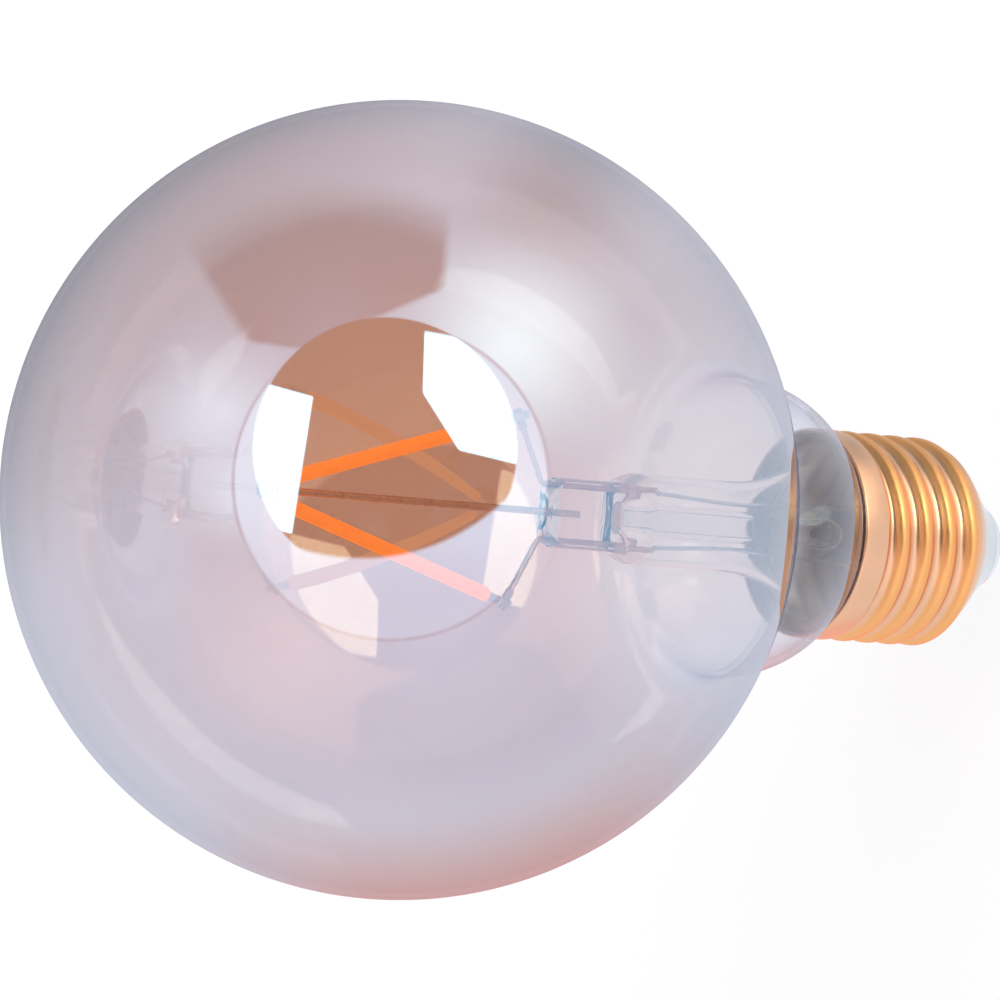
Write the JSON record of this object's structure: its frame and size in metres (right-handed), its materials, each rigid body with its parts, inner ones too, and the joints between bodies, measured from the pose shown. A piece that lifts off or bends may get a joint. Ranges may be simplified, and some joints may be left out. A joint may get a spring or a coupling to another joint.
{
  "type": "globe bulb",
  "caption": "Decorative globe lamp: blown glass globe with an amber mirror film, V-shaped LED filaments on a glass stem, and a gold-coloured screw cap that holds and feeds it.",
  "frame": {"origin": "centre of the end contact's flat face, which meets the holder's centre spring", "axes": "+Z along the lamp's axis from the contact to the crown of the globe; the filaments' V lies in XZ"},
  "size_m": [0.095, 0.095, 0.1354],
  "materials": {
    "tinted_glass": "blown glass with a thin amber mirror film, clear at the neck",
    "clear_glass": "clear tube glass",
    "gold_plate": "gold-coloured plating, bright, lightly worn on the crests",
    "insulator": "smooth pale insulating moulding",
    "contact_metal": "plated contact, satin",
    "phosphor": "silicone with amber phosphor",
    "lug_metal": "plated strip",
    "support_wire": "drawn nickel wire",
    "seal_metal": "copper-clad wire",
    "lead_metal": "tinned wire",
    "cement": "cured mineral cement",
    "board": "white solder mask over glass fibre",
    "capacitor_sleeve": "shrink sleeve over an aluminium can",
    "chip_epoxy": "moulded epoxy",
    "resistor_body": "glazed ceramic",
    "fuse_coat": "dipped lacquer coat"
  },
  "bodies": {
    "root": {"globe_envelope": "tinted_glass", "stem_tube": "clear_glass", "exhaust_tube": "clear_glass", "screw_shell": "gold_plate", "cap_cement": "cement", "cap_insulator": "insulator", "centre_contact": "contact_metal", "centre_support_rod": "support_wire", "driver_board": "board", "smoothing_capacitor": "capacitor_sleeve", "bridge_rectifier": "chip_epoxy", "driver_chip": "chip_epoxy", "chip_resistors": "resistor_body", "fuse_resistor": "fuse_coat", "shell_wire": "lead_metal", "filament_1": "phosphor", "filament_1_apex_lug": "lug_metal", "filament_1_lead_lug": "lug_metal", "inner_lead_1": "support_wire", "seal_wire_1": "seal_metal", "outer_lead_1": "lead_metal", "filament_2": "phosphor", "filament_2_apex_lug": "lug_metal", "filament_2_lead_lug": "lug_metal", "inner_lead_2": "support_wire", "seal_wire_2": "seal_metal", "outer_lead_2": "lead_metal"}
  },
  "joints": []
}
